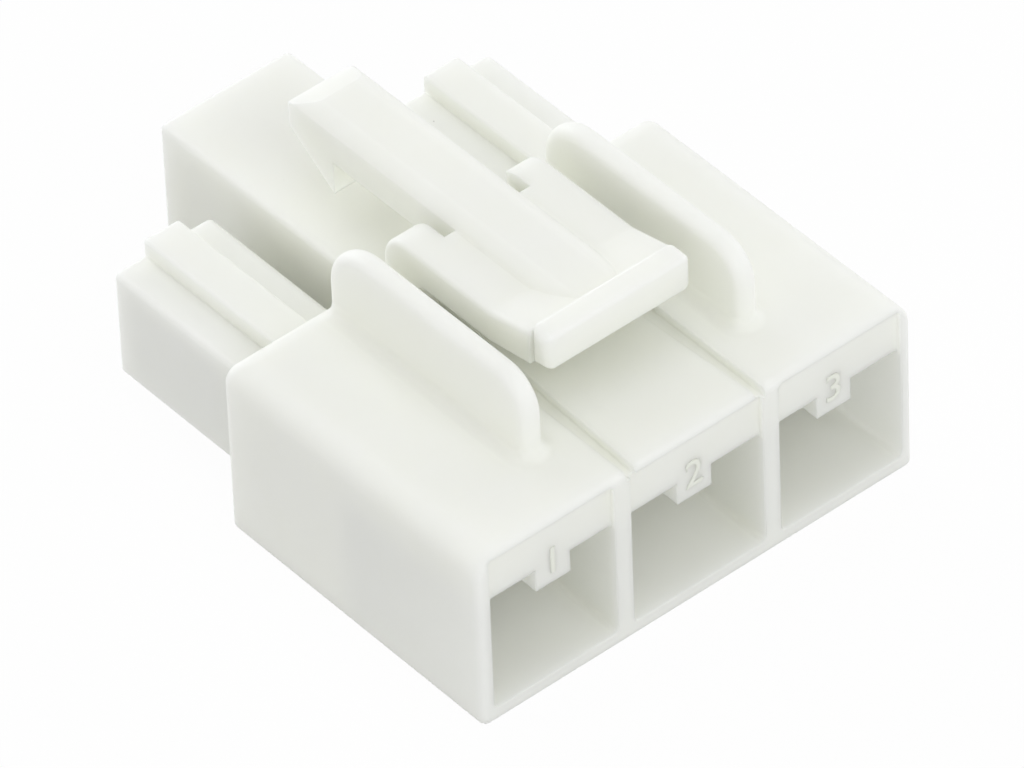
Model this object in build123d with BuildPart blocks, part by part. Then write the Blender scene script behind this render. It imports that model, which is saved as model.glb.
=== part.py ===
from build123d import *
import os

# Housing of a three circuit power connector, moulded in one piece with its latch lever.
# X runs across the circuits, Y from the wire entry face to the mating end, Z up from the flat foot.
# The housing is drawn with Y counted from the wire entry face. At the end it moves so that the origin
# is the middle of the foot. Sizes are in millimetres.

# Circuits
pitch = 7.5
outer_circuits = (-pitch, pitch)

# Body block
body_width = 23.1
body_length = 16.2
body_height = 9.1
crown_radius = 1.2
corner_radius = 0.6
rim_radius = 0.35
foot_radius = 0.25

# Wire entry face: three bays with a block over them that stands back behind the rim
side_wall = 0.58
divider = 0.85
middle_bay_width = 7.05
bay_floor = 0.75
bay_top = 6.6
bay_depth = 8.5
bay_corner = 0.25
block_setback = 0.22
rim_thickness = 0.28

# Key rib that hangs into each bay
key_width = 1.8
key_depth = 1.13

# Terminal chambers behind the bays, and the pin holes at the mating end
chamber_width = 3.8
chamber_height = 3.9
chamber_lead = 0.5
end_wall = 1.0
pin_hole = 2.8

# Mating towers
outer_tower_width = 5.2
tower_bottom = 1.57
outer_tower_top = 7.1
outer_tower_length = 8.75
band_width = 1.9
band_rise = 0.82
middle_tower_width = 7.0
middle_tower_top = 7.96
middle_tower_length = 13.8
tower_edge = 0.3
band_edge = 0.15

# Guard fins on both sides of the lever
fin_x = 5.72
fin_thickness = 1.05
fin_front_y = 3.2
fin_rear_setback = 0.55
fin_rise = 3.9
fin_front_radius = 1.9
fin_rear_radius = 2.4
fin_round = 0.48
fin_foot_fillet = 0.6

# Grooves in the top beside the space under the lever
groove_outer_x = 3.7
groove_inner_front_x = 3.2
groove_inner_rear_x = 2.6
groove_depth = 0.4

# Latch lever: a beam with a hollowed crown, a hook at its free end and a wide pad over its web
lever_gap = 1.8
lever_reach = 7.35
beam_width = 3.4
beam_thickness = 1.55
crown_width = 1.88
crown_rise = 0.55
crown_sag = 0.09
crown_bevel = 1.5
tip_drop = 0.15
tip_height = 1.05
tip_corner = 0.2
hook_length = 2.9
hook_drop = 1.7

# Finger pad
pad_width = 7.7
pad_edge = 0.25
pad_crease_y = 8.2
lip_front_y = 4.55
lip_length = 1.1
lip_rise = 0.85
lip_height = 1.75
lip_edge = 0.2
lip_end_radius = 0.45
crease_radius = 1.2

# Web that carries the lever on the body, and the slots that free the beam from the pad over it
web_setback = 1.3
web_thickness = 2.0
web_root_fillet = 0.8
pad_rear_radius = 1.4
slot_width = 0.58
slot_length = 2.1
slot_flare = 0.9

# Dependent places
rim_bottom = body_height - rim_thickness
outer_bay_inner_x = middle_bay_width / 2 + divider
outer_bay_outer_x = body_width / 2 - side_wall
outer_bay_width = outer_bay_outer_x - outer_bay_inner_x
outer_bay_x = (outer_bay_outer_x + outer_bay_inner_x) / 2
chamber_z = (tower_bottom + outer_tower_top) / 2
chamber_start_y = bay_depth + chamber_lead
outer_tower_end = body_length + outer_tower_length
middle_tower_end = body_length + middle_tower_length
fin_rear_y = body_length - fin_rear_setback
fin_top = body_height + fin_rise
beam_underside = body_height + lever_gap
beam_top = beam_underside + beam_thickness
crown_top = beam_top + crown_rise
tip_y = body_length + lever_reach
tip_top = beam_top - tip_drop
bevel_start_y = tip_y - crown_bevel
catch_y = tip_y - hook_length
catch_bottom = beam_underside - hook_drop
web_rear_y = body_length - web_setback
web_front_y = web_rear_y - web_thickness
slot_x = (beam_width + slot_width) / 2
slot_y = web_rear_y - slot_length / 2
wing_inner_x = beam_width / 2 + slot_width
lip_rear_y = lip_front_y + lip_length
lip_top = beam_top + lip_rise
lip_bottom = lip_top - lip_height
pad_rise = (lip_top - beam_top) / (pad_crease_y - lip_front_y)
pad_sag = (lip_bottom - beam_underside) / (pad_crease_y - lip_front_y)
lip_rear_top = lip_top - pad_rise * lip_length
lip_rear_bottom = lip_bottom - pad_sag * lip_length
tower_start_y = body_length - crown_radius
tip_slope_y = tip_y - crown_bevel * tip_drop / (crown_rise + tip_drop)
pad_middle_z = (beam_underside + beam_top) / 2
bays = (
    (-outer_bay_x, outer_bay_width, -pitch),
    (0, middle_bay_width, 0),
    (outer_bay_x, outer_bay_width, pitch),
)
chambers = ((-pitch, outer_tower_end), (0, middle_tower_end), (pitch, outer_tower_end))

# How far pieces that are joined reach into each other
overlap = 0.5


def across(y):
    """The upright plane across the part, y behind the wire entry face."""
    return Plane.XZ.offset(-y)


def corner(outline, across_it, up_it):
    """The corner of an outline that is nearest to a point of its sketch."""
    return outline.vertices().sort_by_distance((across_it, up_it, 0))[0]


# Body block, solid at first
with BuildPart() as body:
    with BuildSketch(Plane.XY):
        with Locations((0, body_length / 2)):
            Rectangle(body_width, body_length)
    extrude(amount=body_height)
    roof_edges = body.edges().group_by(Axis.Z)[-1]
    fillet(roof_edges.sort_by(Axis.Y)[1:], crown_radius)
    fillet(body.edges().filter_by(Axis.Z).group_by(Axis.Y)[-1], corner_radius)
    fillet(body.edges().group_by(Axis.Y)[0].group_by(Axis.Z)[-1], rim_radius)
    fillet(body.edges().group_by(Axis.Z)[0], foot_radius)

# Outer mating tower, with a raised band along its top
with BuildPart() as outer_tower:
    with BuildSketch(across(tower_start_y)):
        with Locations((0, chamber_z)):
            Rectangle(outer_tower_width, outer_tower_top - tower_bottom)
    extrude(amount=tower_start_y - outer_tower_end)
    fillet(outer_tower.edges().filter_by(Axis.Y), tower_edge)
    fillet(outer_tower.faces().sort_by(Axis.Y)[-1].edges(), tower_edge)

# Raised band along the top of an outer tower
with BuildPart() as band:
    with BuildSketch(across(tower_start_y)):
        with Locations((0, outer_tower_top)):
            Rectangle(band_width, 2 * band_rise)
    extrude(amount=tower_start_y - outer_tower_end)
    fillet(band.faces().sort_by(Axis.Y)[-1].edges().filter_by(Axis.Z), band_edge)
    fillet(band.faces().sort_by(Axis.Z)[-1].edges().sort_by(Axis.Y)[1:], band_edge)

# Middle mating tower, longer, wider and taller than the outer ones
with BuildPart() as middle_tower:
    with BuildSketch(across(tower_start_y)):
        with Locations((0, (tower_bottom + middle_tower_top) / 2)):
            Rectangle(middle_tower_width, middle_tower_top - tower_bottom)
    extrude(amount=tower_start_y - middle_tower_end)
    fillet(middle_tower.edges().filter_by(Axis.Y), tower_edge)
    fillet(middle_tower.faces().sort_by(Axis.Y)[-1].edges(), tower_edge)

# Guard fin, drawn in side view and rounded over its free edges
with BuildPart() as fin:
    with BuildSketch(Plane.YZ.offset(-fin_thickness / 2)) as fin_outline:
        with Locations(((fin_front_y + fin_rear_y) / 2, (body_height - overlap + fin_top) / 2)):
            Rectangle(fin_rear_y - fin_front_y, fin_top - body_height + overlap)
        fillet(corner(fin_outline, fin_front_y, fin_top), fin_front_radius)
        fillet(corner(fin_outline, fin_rear_y, fin_top), fin_rear_radius)
    extrude(amount=fin_thickness)
    fillet(fin.edges().filter_by(Axis.X, reverse=True).sort_by(Axis.Z)[2:], fin_round)

# Beam of the lever, with the hook under its free end
with BuildPart() as beam:
    with BuildSketch(Plane.YZ.offset(-beam_width / 2)):
        with BuildLine():
            Polyline(
                (web_front_y, beam_underside),
                (catch_y, beam_underside),
                (catch_y, catch_bottom),
                (tip_y, tip_top - tip_height),
                (tip_y, tip_top),
                (tip_slope_y, beam_top),
                (web_front_y, beam_top),
                close=True,
            )
        make_face()
    extrude(amount=beam_width)
    fillet(beam.faces().sort_by(Axis.Y)[-1].edges().filter_by(Axis.Z), tip_corner)

# Crown along the beam with hollow flanks, bevelled down to the tip
with BuildPart() as crown:
    with BuildSketch(across(lip_rear_y)):
        with BuildLine():
            Line((-beam_width / 2, beam_top), (beam_width / 2, beam_top))
            SagittaArc((beam_width / 2, beam_top), (crown_width / 2, crown_top), -crown_sag)
            Line((crown_width / 2, crown_top), (-crown_width / 2, crown_top))
            SagittaArc((-crown_width / 2, crown_top), (-beam_width / 2, beam_top), -crown_sag)
        make_face()
    extrude(amount=lip_rear_y - tip_y)
    with BuildSketch(Plane.YZ.offset(-beam_width / 2)):
        with BuildLine():
            Polyline(
                (bevel_start_y, crown_top),
                (tip_y, tip_top),
                (tip_y, crown_top),
                close=True,
            )
        make_face()
    extrude(amount=beam_width, mode=Mode.SUBTRACT)

# Finger pad and web in side view, the pad's long edges rounded
with BuildPart() as pad:
    with BuildSketch(Plane.YZ.offset(-pad_width / 2)) as pad_outline:
        with BuildLine():
            Polyline(
                (web_front_y, body_height - overlap),
                (web_front_y, beam_underside),
                (pad_crease_y, beam_underside),
                (lip_rear_y, lip_rear_bottom),
                (lip_rear_y, lip_rear_top),
                (pad_crease_y, beam_top),
                (web_rear_y, beam_top),
                (web_rear_y, body_height - overlap),
                close=True,
            )
        make_face()
        fillet(corner(pad_outline, web_front_y, beam_underside), web_root_fillet)
        fillet(corner(pad_outline, pad_crease_y, beam_top), crease_radius)
        fillet(corner(pad_outline, web_rear_y, beam_top), pad_rear_radius)
    extrude(amount=pad_width)
    pad_long_edges = pad.edges().filter_by(Axis.X, reverse=True).filter_by(Axis.Z, reverse=True)
    fillet([edge for edge in pad_long_edges if edge.center().Z > pad_middle_z], pad_edge)
    with BuildSketch(Plane.XY.offset(beam_underside)) as slots:
        with Locations((-slot_x, slot_y), (slot_x, slot_y)):
            Rectangle(slot_width, slot_length)
        with Locations((0, web_rear_y + slot_flare)):
            Rectangle(pad_width, 2 * slot_flare)
        fillet(corner(slots, -wing_inner_x, web_rear_y), slot_flare)
        fillet(corner(slots, wing_inner_x, web_rear_y), slot_flare)
    extrude(amount=beam_thickness, mode=Mode.SUBTRACT)

# Lip along the front of the pad, flat on top and a step above the pad behind it
with BuildPart() as lip:
    with BuildSketch(Plane.YZ.offset(-pad_width / 2)):
        with BuildLine():
            Polyline(
                (lip_front_y, lip_bottom),
                (lip_rear_y, lip_rear_bottom),
                (lip_rear_y, lip_top),
                (lip_front_y, lip_top),
                close=True,
            )
        make_face()
    extrude(amount=pad_width)
    fillet(lip.faces().sort_by(Axis.X)[0].edges(), lip_end_radius)
    fillet(lip.faces().sort_by(Axis.X)[-1].edges(), lip_end_radius)
    fillet(lip.faces().sort_by(Axis.Y)[0].edges(), lip_edge)

# The whole housing
with BuildPart() as connector_housing:
    add(body.part)
    with Locations((-fin_x, 0, 0), (fin_x, 0, 0)):
        add(fin.part)
    fillet(connector_housing.edges(Select.NEW), fin_foot_fillet)
    with Locations(*[(x, 0, 0) for x in outer_circuits]):
        add(outer_tower.part)
        add(band.part)
    add(middle_tower.part)
    add(beam.part)
    add(crown.part)
    add(pad.part)
    add(lip.part)

    # Recess of the block behind the rim, then the bays with their key ribs
    for bay_x, bay_width, key_x in bays:
        with BuildSketch(across(0)):
            with Locations((bay_x, (bay_floor + rim_bottom) / 2)):
                RectangleRounded(bay_width, rim_bottom - bay_floor, bay_corner)
        extrude(amount=-block_setback, mode=Mode.SUBTRACT)
        with BuildSketch(across(0)):
            with Locations((bay_x, (bay_floor + bay_top) / 2)):
                RectangleRounded(bay_width, bay_top - bay_floor, bay_corner)
            with Locations((key_x, bay_top - key_depth / 2)):
                Rectangle(key_width, key_depth, mode=Mode.SUBTRACT)
        extrude(amount=-bay_depth, mode=Mode.SUBTRACT)

    # Terminal chambers with a lead in, and pin holes through the end walls
    for chamber_x, tower_end in chambers:
        with BuildSketch(across(bay_depth)):
            with Locations((chamber_x, chamber_z)):
                Rectangle(chamber_width + 2 * chamber_lead, chamber_height + 2 * chamber_lead)
        with BuildSketch(across(chamber_start_y)):
            with Locations((chamber_x, chamber_z)):
                Rectangle(chamber_width, chamber_height)
        loft(mode=Mode.SUBTRACT)
        with BuildSketch(across(chamber_start_y)):
            with Locations((chamber_x, chamber_z)):
                Rectangle(chamber_width, chamber_height)
        extrude(amount=chamber_start_y + end_wall - tower_end, mode=Mode.SUBTRACT)
        with BuildSketch(across(tower_end)):
            with Locations((chamber_x, chamber_z)):
                Rectangle(pin_hole, pin_hole)
        extrude(amount=end_wall, mode=Mode.SUBTRACT)

    # Grooves beside the space under the pad
    for side in (-1, 1):
        with BuildSketch(Plane.XY.offset(body_height - groove_depth)):
            with BuildLine():
                Polyline(
                    (side * groove_outer_x, 0),
                    (side * groove_outer_x, web_front_y),
                    (side * groove_inner_rear_x, web_front_y),
                    (side * groove_inner_front_x, 0),
                    close=True,
                )
            make_face()
        extrude(amount=groove_depth, mode=Mode.SUBTRACT)

# The origin goes to the middle of the foot
housing = connector_housing.part.moved(Location((0, -body_length / 2, 0)))
housing.label = "connector_housing"
os.makedirs("parts", exist_ok=True)
export_step(housing, "parts/connector_housing.step")
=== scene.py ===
import math

import bmesh
import bpy
from mathutils import Matrix, Vector


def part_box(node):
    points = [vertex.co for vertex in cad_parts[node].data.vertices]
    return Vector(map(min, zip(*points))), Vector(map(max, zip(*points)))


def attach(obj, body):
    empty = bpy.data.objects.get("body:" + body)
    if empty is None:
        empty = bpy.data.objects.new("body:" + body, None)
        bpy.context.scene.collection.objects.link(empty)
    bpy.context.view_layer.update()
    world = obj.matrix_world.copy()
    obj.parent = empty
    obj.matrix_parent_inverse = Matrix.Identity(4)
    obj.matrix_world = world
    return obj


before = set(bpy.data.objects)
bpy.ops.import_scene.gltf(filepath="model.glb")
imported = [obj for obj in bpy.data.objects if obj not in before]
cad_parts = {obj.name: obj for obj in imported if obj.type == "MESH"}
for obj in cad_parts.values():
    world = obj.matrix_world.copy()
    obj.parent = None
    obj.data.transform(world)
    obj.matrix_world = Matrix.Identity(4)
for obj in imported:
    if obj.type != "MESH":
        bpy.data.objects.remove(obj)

bl_info = {
    "name": "Connector housing looks",
    "version": (1, 0, 0),
    "blender": (4, 5, 0),
    "location": "3D View > Sidebar > Housing",
    "description": "Natural nylon finish and a plain studio for a wire to board connector housing",
    "category": "Object",
}

HOUSING = "connector_housing"
MM = 0.001

# Share of the light that goes through the body of the plastic, for which the numbers are too thin
HOUSING_DEPTH_SHARE = 1.0
NUMBER_DEPTH_SHARE = 0.12

# How far red, green and blue light reach inside the nylon beside each other
LIGHT_REACH = (1.0, 1.0, 1.0)
NYLON_IOR = 1.53

# A noise swings around this level
NOISE_MIDDLE = 0.5

# Finer layers that each noise has besides its first
CLOUD_DETAIL = 2
SMEAR_DETAIL = 3
GRAIN_DETAIL = 3
SWELL_DETAIL = 1

# Weight of the fine grain beside the slow swell of the surface, and how strongly both turn the light
GRAIN_SHARE = 0.15
RELIEF_STRENGTH = 0.35

# Rays that find each moulded edge
EDGE_SAMPLES = 8

# Circuits from left to right. The middle one lies on the housing's middle
CIRCUITS = (1, 2, 3)
MIDDLE_CIRCUIT = 2

# Steps along a number's curves and round its edges
CURVE_STEPS = 4
EDGE_STEPS = 1

# Points of a number that lie closer than this become one
MERGE_DISTANCE = 0.001 * MM

# Softboxes, all as far away and as wide as each other, with the direction that each stands in
LAMP_DISTANCE = 600 * MM
LAMP_WIDTH = 400 * MM
BACK_DIRECTION = (0, 1, 0.1)
RIGHT_DIRECTION = (1, 0, 0.1)
FRONT_DIRECTION = (0, -0.7, 0.7)
LEFT_DIRECTION = (-0.67, -0.67, 0.3)
TOP_DIRECTION = (0, 0, 1)

# The softboxes are a trace cooler than the room
LAMP_COLOUR = (0.93, 0.955, 1.0)
ROOM_COLOUR = (1.0, 1.0, 0.955, 1)
WHITE = (1, 1, 1, 1)
PAPER_COLOUR = (0.9, 0.9, 0.9, 1)

# How much of the floor that the camera sees is plain white. The rest is paper, which holds the shadow
FLOOR_WHITE_SHARE = 0.96

# Camera
SENSOR_WIDTH = 36
NEAREST_SEEN = 50 * MM
FARTHEST_SEEN = 20000 * MM

# Sockets that share their name with others on a node go by their number
FIRST_COLOUR = 6
SECOND_COLOUR = 7
MIXED_COLOUR = 2
FIRST_SHADER = 1
SECOND_SHADER = 2


# Shader helpers
class Level:
    """A number that changes over the surface, so that maths on it reads as an expression."""

    def __init__(self, sheet, socket):
        self.sheet = sheet
        self.socket = socket

    def _maths(self, operation, first, second):
        made = self.sheet.node("ShaderNodeMath", {"operation": operation}, {0: first, 1: second})
        return Level(self.sheet, made.outputs[0])

    def __add__(self, other):
        return self._maths("ADD", self, other)

    def __radd__(self, other):
        return self._maths("ADD", other, self)

    def __sub__(self, other):
        return self._maths("SUBTRACT", self, other)

    def __rsub__(self, other):
        return self._maths("SUBTRACT", other, self)

    def __mul__(self, other):
        return self._maths("MULTIPLY", self, other)

    def __rmul__(self, other):
        return self._maths("MULTIPLY", other, self)


class NodeSheet:
    """The nodes of one material or world."""

    def __init__(self, owner):
        owner.use_nodes = True
        self.tree = owner.node_tree
        self.tree.nodes.clear()

    def node(self, kind, settings, sockets):
        """Adds a node, gives it its settings first and then the values or links of its sockets."""
        made = self.tree.nodes.new(kind)
        for name, value in settings.items():
            setattr(made, name, value)
        for name, value in sockets.items():
            if isinstance(value, Level):
                self.tree.links.new(value.socket, made.inputs[name])
            elif isinstance(value, bpy.types.NodeSocket):
                self.tree.links.new(value, made.inputs[name])
            else:
                made.inputs[name].default_value = value
        return made

    def mix(self, share, first, second):
        """The first colour, with that share of the second."""
        made = self.node(
            "ShaderNodeMix",
            {"data_type": "RGBA"},
            {"Factor": share, FIRST_COLOUR: first, SECOND_COLOUR: second},
        )
        return made.outputs[MIXED_COLOUR]

    def noise(self, place, size, detail):
        """A noise of that grain size, as a level around its middle."""
        made = self.node(
            "ShaderNodeTexNoise",
            {"noise_dimensions": "3D"},
            {"Vector": place, "Scale": 1 / size, "Detail": detail},
        )
        return Level(self, made.outputs["Fac"])

    def seen(self):
        """1 for what the camera sees, also in a reflection or through glass."""
        path = self.node("ShaderNodeLightPath", {}, {})
        straight = Level(self, path.outputs["Is Camera Ray"])
        mirrored = Level(self, path.outputs["Is Glossy Ray"])
        total = self.node(
            "ShaderNodeMath",
            {"operation": "ADD", "use_clamp": True},
            {0: straight + mirrored, 1: path.outputs["Is Transmission Ray"]},
        )
        return Level(self, total.outputs[0])

    def mix_shaders(self, share, first, second):
        """The first shader, with that share of the second."""
        made = self.node(
            "ShaderNodeMixShader", {}, {"Fac": share, FIRST_SHADER: first, SECOND_SHADER: second}
        )
        return made.outputs[0]


# What a user would change
class NylonFinish(bpy.types.PropertyGroup):
    """Finish of the moulded nylon."""

    colour: bpy.props.FloatVectorProperty(
        name="Nylon", description="Colour of the natural nylon", subtype="COLOR", size=3,
        min=0, max=1, default=(0.957, 0.965, 0.885),
    )
    cloud_colour: bpy.props.FloatVectorProperty(
        name="Cloud", description="Slightly denser nylon in the flow of the moulding", subtype="COLOR",
        size=3, min=0, max=1, default=(0.940, 0.952, 0.862),
    )
    cloud_size: bpy.props.FloatProperty(
        name="Cloud size", description="Size of the flow clouds", unit="LENGTH",
        min=0.1 * MM, default=2.5 * MM,
    )
    roughness: bpy.props.FloatProperty(
        name="Roughness", description="Roughness of the satin surface", subtype="FACTOR",
        min=0, max=1, default=0.54,
    )
    smear_strength: bpy.props.FloatProperty(
        name="Smear", description="How much the roughness varies", min=0, max=0.5, default=0.12,
    )
    smear_size: bpy.props.FloatProperty(
        name="Smear size", description="Size of the smoother and rougher places", unit="LENGTH",
        min=0.1 * MM, default=0.9 * MM,
    )
    light_depth: bpy.props.FloatProperty(
        name="Light depth", description="How far light travels inside the nylon", unit="LENGTH",
        min=0, default=1.2 * MM,
    )
    grain: bpy.props.FloatProperty(
        name="Grain", description="Size of the fine texture that the mould leaves", unit="LENGTH",
        min=0.01 * MM, default=0.09 * MM,
    )
    swell: bpy.props.FloatProperty(
        name="Swell", description="Size of the slow unevenness of the faces", unit="LENGTH",
        min=0.1 * MM, default=1.6 * MM,
    )
    relief: bpy.props.FloatProperty(
        name="Relief", description="Height of grain and swell", unit="LENGTH", min=0, default=0.02 * MM,
    )
    edge_softness: bpy.props.FloatProperty(
        name="Edge softness", description="Radius of the moulded edges", unit="LENGTH",
        min=0, default=0.12 * MM,
    )
    speck_colour: bpy.props.FloatVectorProperty(
        name="Speck", description="Burnt grains that the moulding leaves here and there", subtype="COLOR",
        size=3, min=0, max=1, default=(0.22, 0.20, 0.16),
    )
    speck_radius: bpy.props.FloatProperty(
        name="Speck radius", description="Radius of the largest burnt grains", unit="LENGTH",
        min=0, default=0.055 * MM,
    )
    speck_spacing: bpy.props.FloatProperty(
        name="Speck spacing", description="How far apart the burnt grains lie in the nylon", unit="LENGTH",
        min=0.1 * MM, default=2.8 * MM,
    )


class CircuitNumbers(bpy.types.PropertyGroup):
    """Raised numbers on the blocks over the bays."""

    pitch: bpy.props.FloatProperty(
        name="Pitch", description="From one circuit to the next", unit="LENGTH", default=7.5 * MM,
    )
    face_setback: bpy.props.FloatProperty(
        name="Face setback", description="How far the blocks stand back from the wire entry face",
        unit="LENGTH", default=0.22 * MM,
    )
    middle_height: bpy.props.FloatProperty(
        name="Height of the middle", description="Middle of the numbers above the foot", unit="LENGTH",
        default=6.6 * MM,
    )
    type_size: bpy.props.FloatProperty(
        name="Type size", description="Size of the numbers' type, about 1.4 times a number's height",
        unit="LENGTH", min=0.1 * MM, default=2.0 * MM,
    )
    relief: bpy.props.FloatProperty(
        name="Relief", description="How far the numbers stand out of the blocks", unit="LENGTH",
        min=0, default=0.028 * MM,
    )
    edge_radius: bpy.props.FloatProperty(
        name="Edge radius", description="Rounding of the numbers' edges", unit="LENGTH",
        min=0, default=0.02 * MM,
    )


class Studio(bpy.types.PropertyGroup):
    """Camera, lamps and floor."""

    lens: bpy.props.FloatProperty(
        name="Lens", description="Focal length on a 36 mm wide sensor", unit="CAMERA", default=436.4,
    )
    camera_place: bpy.props.FloatVectorProperty(
        name="Camera place", description="Where the camera stands", subtype="TRANSLATION", size=3,
        default=(-232.65 * MM, -286.63 * MM, 350.58 * MM),
    )
    heading: bpy.props.FloatProperty(
        name="Heading", description="Turn of the view away from +Y", subtype="ANGLE",
        default=math.radians(38.717),
    )
    elevation: bpy.props.FloatProperty(
        name="Elevation", description="How far the view looks down", subtype="ANGLE",
        default=math.radians(43.007),
    )
    roll: bpy.props.FloatProperty(
        name="Roll", description="Turn of the picture", subtype="ANGLE", default=math.radians(2.460),
    )
    sky: bpy.props.FloatProperty(
        name="Room light", description="Soft light from all round", min=0, default=0.55,
    )
    back_lamp: bpy.props.FloatProperty(
        name="Back lamp", description="Power of the low softbox behind", unit="POWER", min=0, default=2.2,
    )
    right_lamp: bpy.props.FloatProperty(
        name="Right lamp", description="Power of the softbox on the right", unit="POWER", min=0,
        default=1.0,
    )
    front_lamp: bpy.props.FloatProperty(
        name="Front lamp", description="Power of the softbox in front and above", unit="POWER", min=0,
        default=0.74,
    )
    left_lamp: bpy.props.FloatProperty(
        name="Left lamp", description="Power of the softbox in front on the left", unit="POWER", min=0,
        default=0.4,
    )
    top_lamp: bpy.props.FloatProperty(
        name="Top lamp", description="Power of the softbox above", unit="POWER", min=0, default=0.48,
    )
    floor_size: bpy.props.FloatProperty(
        name="Floor", description="Width of the floor", unit="LENGTH", min=0.5, default=6.0,
    )


# Nylon
def specks(sheet, place, finish):
    """1 inside a burnt grain and 0 away from it."""
    grains = sheet.node(
        "ShaderNodeTexVoronoi",
        {"voronoi_dimensions": "3D"},
        {"Vector": place, "Scale": 1 / finish.speck_spacing},
    )
    reach = finish.speck_radius / finish.speck_spacing
    near = sheet.node(
        "ShaderNodeMapRange",
        {"interpolation_type": "SMOOTHSTEP"},
        {
            "Value": grains.outputs["Distance"],
            "From Min": reach / 2,
            "From Max": reach,
            "To Min": 1,
            "To Max": 0,
        },
    )
    return near.outputs["Result"]


def nylon_material(name, finish, depth_share):
    """Satin moulded nylon. The share is how much of its light goes through the body of the plastic."""
    material = bpy.data.materials.new(name)
    sheet = NodeSheet(material)
    place = sheet.node("ShaderNodeTexCoord", {}, {}).outputs["Object"]

    cloud = sheet.noise(place, finish.cloud_size, CLOUD_DETAIL)
    clouded = sheet.mix(cloud, (*finish.colour, 1), (*finish.cloud_colour, 1))
    colour = sheet.mix(specks(sheet, place, finish), clouded, (*finish.speck_colour, 1))

    smear = sheet.noise(place, finish.smear_size, SMEAR_DETAIL)
    roughness = finish.roughness + finish.smear_strength * (smear - NOISE_MIDDLE)

    soft_edges = sheet.node("ShaderNodeBevel", {"samples": EDGE_SAMPLES}, {"Radius": finish.edge_softness})
    grain = sheet.noise(place, finish.grain, GRAIN_DETAIL)
    swell = sheet.noise(place, finish.swell, SWELL_DETAIL)
    bump = sheet.node(
        "ShaderNodeBump",
        {},
        {
            "Height": grain * GRAIN_SHARE + swell,
            "Strength": RELIEF_STRENGTH,
            "Distance": finish.relief,
            "Normal": soft_edges.outputs["Normal"],
        },
    )

    nylon = sheet.node(
        "ShaderNodeBsdfPrincipled",
        {},
        {
            "Base Color": colour,
            "Roughness": roughness,
            "IOR": NYLON_IOR,
            "Subsurface Weight": depth_share,
            "Subsurface Radius": LIGHT_REACH,
            "Subsurface Scale": finish.light_depth,
            "Normal": bump.outputs["Normal"],
        },
    )
    sheet.node("ShaderNodeOutputMaterial", {}, {"Surface": nylon.outputs[0]})
    return material


# The housing itself is the frame's own node, so only its finish is made here
class HOUSING_OT_nylon(bpy.types.Operator):
    """Gives the moulded housing its satin, slightly translucent nylon"""

    bl_idname = "housing.nylon"
    bl_label = "Nylon finish"

    def execute(self, context):
        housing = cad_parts[HOUSING]
        if not housing.material_slots:
            raise RuntimeError("the housing has no material slot")
        nylon = nylon_material("natural_nylon", context.scene.housing_nylon, HOUSING_DEPTH_SHARE)
        for slot in housing.material_slots:
            slot.material = nylon
        return {"FINISHED"}


class HOUSING_OT_numbers(bpy.types.Operator):
    """Raises the plain circuit numbers 1 to 3 on the blocks over the bays"""

    bl_idname = "housing.numbers"
    bl_label = "Circuit numbers"

    def numeral(self, text, numbers):
        """One number as a mesh that lies flat, with its middle at the origin and half of it below."""
        curve = bpy.data.curves.new("numeral", "FONT")
        curve.body = text
        curve.size = numbers.type_size
        curve.extrude = numbers.relief - numbers.edge_radius
        curve.bevel_depth = numbers.edge_radius
        curve.bevel_resolution = EDGE_STEPS
        curve.resolution_u = CURVE_STEPS
        curve.align_x = "CENTER"
        curve.align_y = "CENTER"
        letter = bpy.data.objects.new("numeral", curve)
        made = bpy.data.meshes.new_from_object(letter)
        bpy.data.objects.remove(letter)
        return made

    def execute(self, context):
        numbers = context.scene.housing_numbers
        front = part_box(HOUSING)[0][1]
        face = front + numbers.face_setback
        upright = Matrix.Rotation(math.radians(90), 4, "X")
        raised = bmesh.new()
        for circuit in CIRCUITS:
            numeral = self.numeral(str(circuit), numbers)
            across = (circuit - MIDDLE_CIRCUIT) * numbers.pitch
            middle = Vector((across, face, numbers.middle_height))
            numeral.transform(Matrix.Translation(middle) @ upright)
            raised.from_mesh(numeral)
            bpy.data.meshes.remove(numeral)
        bmesh.ops.remove_doubles(raised, verts=raised.verts, dist=MERGE_DISTANCE)
        bmesh.ops.recalc_face_normals(raised, faces=raised.faces)
        made = bpy.data.meshes.new("circuit_numbers")
        raised.to_mesh(made)
        raised.free()
        piece = bpy.data.objects.new("circuit_numbers", made)
        context.collection.objects.link(piece)
        made.materials.append(nylon_material("number_nylon", context.scene.housing_nylon, NUMBER_DEPTH_SHARE))
        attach(piece, "root")
        return {"FINISHED"}


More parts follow.
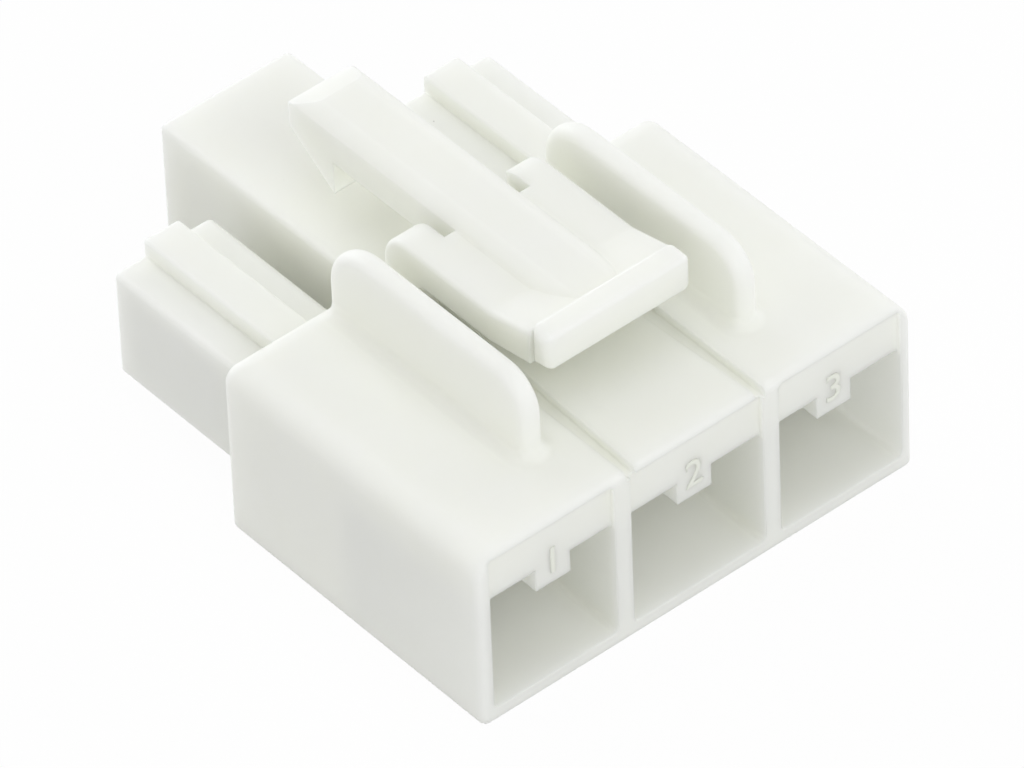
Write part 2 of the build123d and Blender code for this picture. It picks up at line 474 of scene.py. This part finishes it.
class HOUSING_OT_studio(bpy.types.Operator):
    """Sets up the white floor, the soft lamps and the camera"""

    bl_idname = "housing.studio"
    bl_label = "Studio"

    def light_room(self, scene, strength):
        """Soft light from all round, which the camera sees as plain white."""
        world = scene.world or bpy.data.worlds.new("room")
        scene.world = world
        sheet = NodeSheet(world)
        room = sheet.node("ShaderNodeBackground", {}, {"Color": ROOM_COLOUR, "Strength": strength})
        white = sheet.node("ShaderNodeBackground", {}, {"Color": WHITE, "Strength": 1.0})
        shown = sheet.mix_shaders(sheet.seen(), room.outputs[0], white.outputs[0])
        sheet.node("ShaderNodeOutputWorld", {}, {"Surface": shown})

    def add_floor(self, collection, width):
        """A white floor that keeps the housing's shadow."""
        made = bpy.data.meshes.new("floor")
        square = bmesh.new()
        bmesh.ops.create_grid(square, x_segments=1, y_segments=1, size=width / 2)
        square.to_mesh(made)
        square.free()
        floor = bpy.data.objects.new("floor", made)
        collection.objects.link(floor)
        material = bpy.data.materials.new("white_floor")
        sheet = NodeSheet(material)
        paper = sheet.node("ShaderNodeBsdfDiffuse", {}, {"Color": PAPER_COLOUR})
        white = sheet.node("ShaderNodeEmission", {}, {"Color": WHITE, "Strength": 1.0})
        shown = sheet.mix_shaders(sheet.seen() * FLOOR_WHITE_SHARE, paper.outputs[0], white.outputs[0])
        sheet.node("ShaderNodeOutputMaterial", {}, {"Surface": shown})
        floor.data.materials.append(material)

    def add_lamp(self, collection, name, power, direction):
        """A square softbox in that direction from the housing, turned towards it."""
        lamp = bpy.data.lights.new(name, "AREA")
        lamp.shape = "SQUARE"
        lamp.size = LAMP_WIDTH
        lamp.color = LAMP_COLOUR
        lamp.energy = power
        stand = bpy.data.objects.new(name, lamp)
        stand.location = Vector(direction) * LAMP_DISTANCE
        stand.rotation_euler = (-stand.location).to_track_quat("-Z", "Y").to_euler()
        collection.objects.link(stand)

    def add_camera(self, collection, studio):
        """The camera at the photograph's angle."""
        lens = bpy.data.cameras.new("camera")
        lens.lens = studio.lens
        lens.sensor_width = SENSOR_WIDTH
        lens.clip_start = NEAREST_SEEN
        lens.clip_end = FARTHEST_SEEN
        camera = bpy.data.objects.new("camera", lens)
        aim = (
            Matrix.Rotation(-studio.heading, 4, "Z")
            @ Matrix.Rotation(math.radians(90) - studio.elevation, 4, "X")
            @ Matrix.Rotation(-studio.roll, 4, "Z")
        )
        camera.matrix_world = Matrix.Translation(studio.camera_place) @ aim
        collection.objects.link(camera)
        return camera

    def execute(self, context):
        scene = context.scene
        studio = scene.housing_studio
        stage = context.collection
        scene.view_settings.view_transform = "Standard"
        self.light_room(scene, studio.sky)
        self.add_floor(stage, studio.floor_size)
        for name, power, direction in (
            ("back_lamp", studio.back_lamp, BACK_DIRECTION),
            ("right_lamp", studio.right_lamp, RIGHT_DIRECTION),
            ("front_lamp", studio.front_lamp, FRONT_DIRECTION),
            ("left_lamp", studio.left_lamp, LEFT_DIRECTION),
            ("top_lamp", studio.top_lamp, TOP_DIRECTION),
        ):
            self.add_lamp(stage, name, power, direction)
        bpy.context.scene.camera = self.add_camera(stage, studio)
        return {"FINISHED"}


class VIEW3D_PT_housing(bpy.types.Panel):
    """Lists the steps of the housing's looks"""

    bl_label = "Connector housing"
    bl_space_type = "VIEW_3D"
    bl_region_type = "UI"
    bl_category = "Housing"

    def draw(self, context):
        scene = context.scene
        for group, step in (
            (scene.housing_nylon, HOUSING_OT_nylon),
            (scene.housing_numbers, HOUSING_OT_numbers),
            (scene.housing_studio, HOUSING_OT_studio),
        ):
            box = self.layout.box()
            for name in group.__annotations__:
                box.prop(group, name)
            box.operator(step.bl_idname)


CLASSES = (
    NylonFinish,
    CircuitNumbers,
    Studio,
    HOUSING_OT_nylon,
    HOUSING_OT_numbers,
    HOUSING_OT_studio,
    VIEW3D_PT_housing,
)


def register():
    for kind in CLASSES:
        bpy.utils.register_class(kind)
    bpy.types.Scene.housing_nylon = bpy.props.PointerProperty(type=NylonFinish)
    bpy.types.Scene.housing_numbers = bpy.props.PointerProperty(type=CircuitNumbers)
    bpy.types.Scene.housing_studio = bpy.props.PointerProperty(type=Studio)


def unregister():
    del bpy.types.Scene.housing_nylon
    del bpy.types.Scene.housing_numbers
    del bpy.types.Scene.housing_studio
    for kind in reversed(CLASSES):
        bpy.utils.unregister_class(kind)


def main():
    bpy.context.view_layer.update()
    register()
    bpy.ops.housing.nylon()
    bpy.ops.housing.numbers()
    bpy.ops.housing.studio()


if __name__ == "__main__":
    main()
